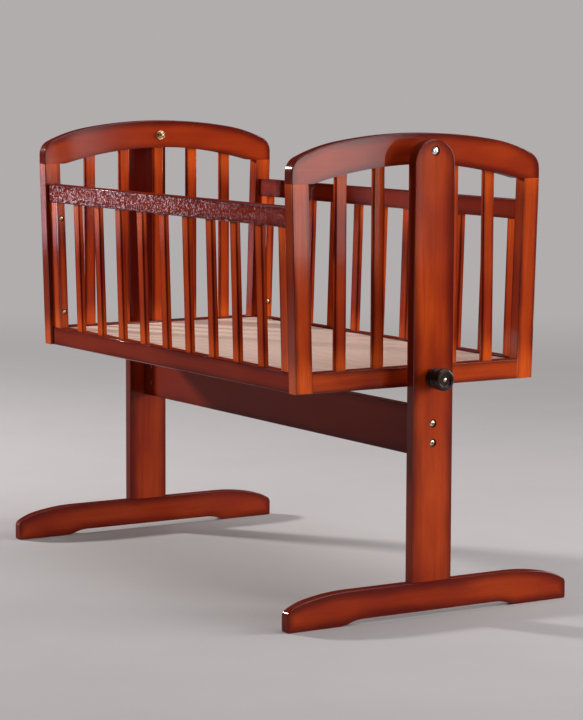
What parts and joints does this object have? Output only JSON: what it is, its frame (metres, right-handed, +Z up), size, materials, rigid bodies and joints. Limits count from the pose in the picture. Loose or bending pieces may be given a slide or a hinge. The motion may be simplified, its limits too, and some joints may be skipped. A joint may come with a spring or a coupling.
{
  "type": "baby cradle",
  "caption": "Slatted wooden baby cradle that swings between two posts on a floor stand, with arched end panels, a plywood base and a lock knob.",
  "frame": {"origin": "on the floor under the middle of the whole object's box, lock knob included", "axes": "+X along the cradle towards the end with the lock knob, +Y across it, +Z up"},
  "size_m": [1.106, 0.608, 0.8635],
  "materials": {
    "stained_wood": "gloss lacquer over a red mahogany stain",
    "plywood": "sealed plywood, satin",
    "plain_wood": "plain, unfinished",
    "nickel": "bright nickel plate",
    "brass": "bright",
    "dark_gloss": "gloss, very dark brown"
  },
  "bodies": {
    "stand": {"near_post": "stained_wood", "far_post": "stained_wood", "near_foot": "stained_wood", "far_foot": "stained_wood", "stretcher": "stained_wood", "post_dowels": "plain_wood", "stretcher_bolts": "nickel", "stretcher_barrel_nuts": "nickel", "pivot_bolts": "nickel", "pivot_spacers": "nickel", "pivot_washers": "brass", "pivot_cap_nuts": "brass", "lock_bush": "brass"},
    "lock": {"lock_knob": "dark_gloss", "lock_stud": "nickel", "lock_knob_screw": "nickel"},
    "cradle": {"near_top_rail": "stained_wood", "near_bottom_rail": "stained_wood", "near_left_stile": "stained_wood", "near_right_stile": "stained_wood", "near_slat_1": "stained_wood", "near_slat_2": "stained_wood", "near_slat_3": "stained_wood", "near_slat_4": "stained_wood", "near_slat_5": "stained_wood", "far_top_rail": "stained_wood", "far_bottom_rail": "stained_wood", "far_left_stile": "stained_wood", "far_right_stile": "stained_wood", "far_slat_1": "stained_wood", "far_slat_2": "stained_wood", "far_slat_3": "stained_wood", "far_slat_4": "stained_wood", "far_slat_5": "stained_wood", "left_top_rail": "stained_wood", "left_bottom_rail": "stained_wood", "left_near_stile": "stained_wood", "left_far_stile": "stained_wood", "left_slats": "stained_wood", "right_top_rail": "stained_wood", "right_bottom_rail": "stained_wood", "right_near_stile": "stained_wood", "right_far_stile": "stained_wood", "right_slats": "stained_wood", "base_board": "plywood", "left_cleat": "plain_wood", "right_cleat": "plain_wood", "cleat_screws": "brass", "side_bolts": "brass", "side_inserts": "brass", "pivot_bushes": "brass", "lock_socket": "brass", "near_end_dowels": "plain_wood", "far_end_dowels": "plain_wood", "left_side_dowels": "plain_wood", "right_side_dowels": "plain_wood"}
  },
  "joints": [
    {"name": "cradle_swing", "type": "hinge", "parent": "stand", "child": "cradle", "pos_m": [-0.019, 0, 0.8335], "axis": [1, 0, 0], "range_deg": [-20, 20]},
    {"name": "lock_pull", "type": "slide", "parent": "stand", "child": "lock", "axis": [1, 0, 0], "range_m": [0, 0.016]}
  ]
}
